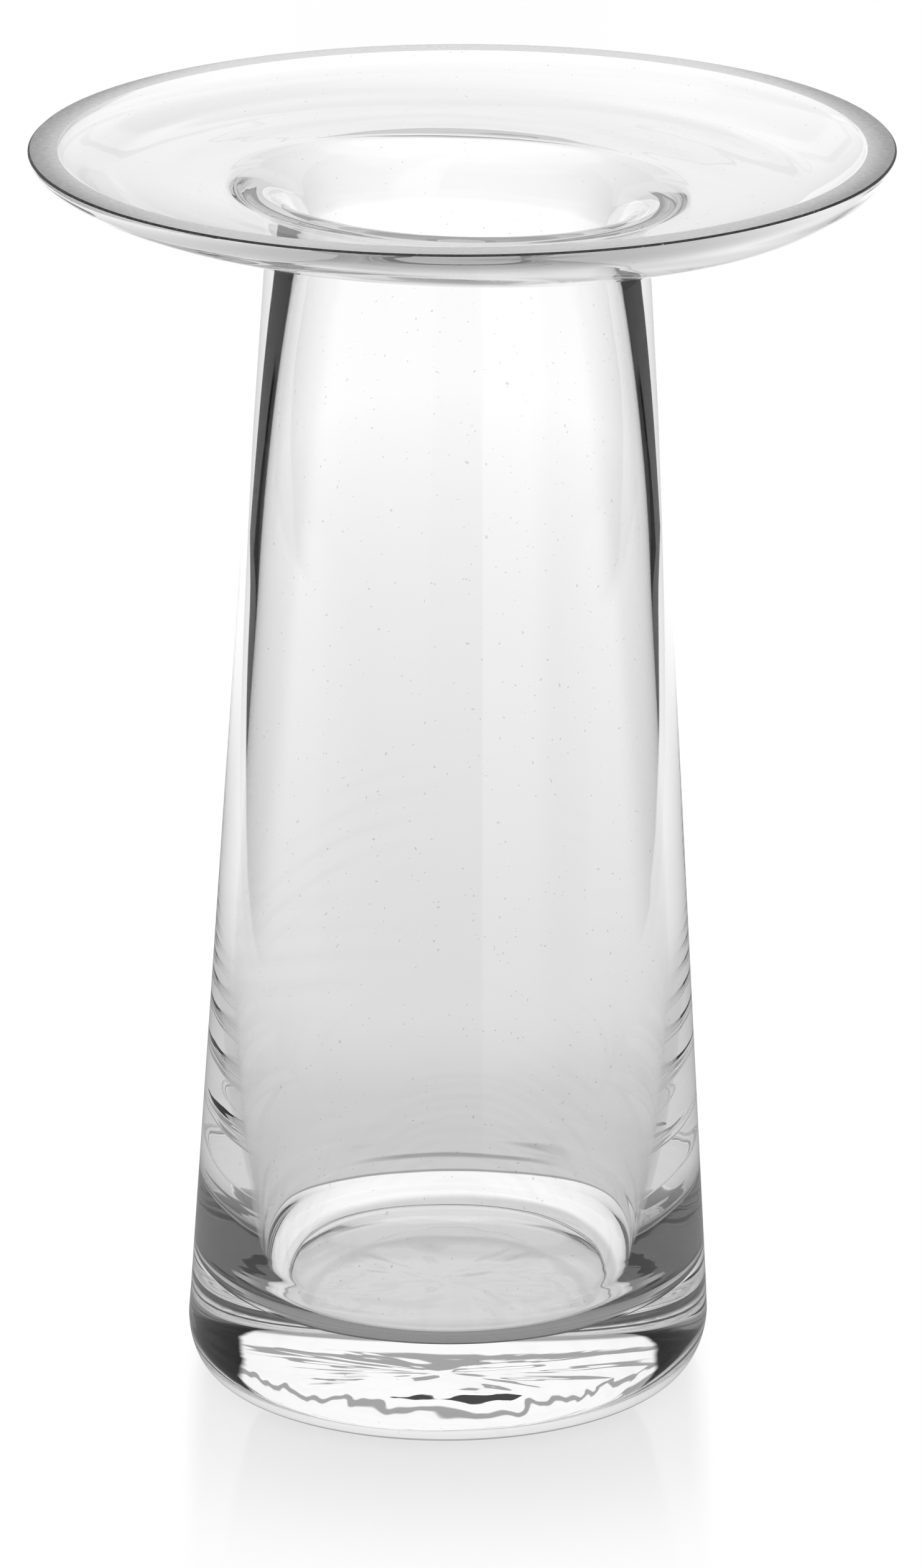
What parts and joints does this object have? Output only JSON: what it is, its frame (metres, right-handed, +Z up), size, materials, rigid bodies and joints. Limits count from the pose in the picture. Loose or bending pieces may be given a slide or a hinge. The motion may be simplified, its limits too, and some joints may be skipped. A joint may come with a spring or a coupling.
{
  "type": "collared vase",
  "caption": "Clear glass vase with a straight tapering body, a thick solid base and a wide shallow collar that ends in a flat ground rim.",
  "frame": {"origin": "centre of the foot, on the surface that the vase stands on", "axes": "+Z up along the axis of the vase, from the foot to the rim; X and Y level, the vase is round about Z"},
  "size_m": [0.201, 0.201, 0.3],
  "materials": {
    "clear_glass": "gloss"
  },
  "bodies": {
    "root": {"solid_base": "clear_glass", "tapered_body": "clear_glass", "collar": "clear_glass"}
  },
  "joints": []
}
